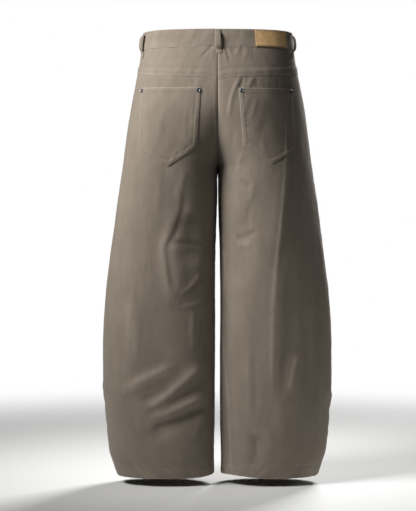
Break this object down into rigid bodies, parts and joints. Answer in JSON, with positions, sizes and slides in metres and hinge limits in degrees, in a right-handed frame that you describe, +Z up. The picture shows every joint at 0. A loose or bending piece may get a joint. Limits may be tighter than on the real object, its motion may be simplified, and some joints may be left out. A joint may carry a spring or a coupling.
{
  "type": "barrel leg trousers",
  "caption": "Wide barrel leg trousers in brown cotton twill, worn and hollow, with a shaped yoke, patch pockets with rivets, belt loops and a plain leather patch.",
  "frame": {"origin": "centre of the waist, halfway up the waistband, where the wearer holds the trousers up", "axes": "+Z up the body, +Y out of the front of the trousers, -Y out of their back, +X towards the wearer's right"},
  "size_m": [0.514, 0.2645, 0.9931],
  "materials": {
    "twill": "taupe-brown cotton twill with a dry matt face, tonal topstitching and slightly paler worn seam edges",
    "leather": "plain tan leather, smooth, with a darker stitched edge",
    "gunmetal": "dark bluish gunmetal, satin"
  },
  "bodies": {
    "root": {"back_panel_left": "twill", "back_panel_right": "twill", "front_panel_left": "twill", "front_panel_right": "twill", "yoke_left": "twill", "yoke_right": "twill", "waistband": "twill", "belt_loop_back": "twill", "belt_loop_side_left": "twill", "belt_loop_side_right": "twill", "belt_loop_front_left": "twill", "belt_loop_front_right": "twill", "back_pocket_left": "twill", "back_pocket_right": "twill", "fly_shield": "twill", "leather_patch": "leather", "rivet_left_outer": "gunmetal", "rivet_left_inner": "gunmetal", "rivet_right_inner": "gunmetal", "rivet_right_outer": "gunmetal", "waist_button": "gunmetal"}
  },
  "joints": []
}
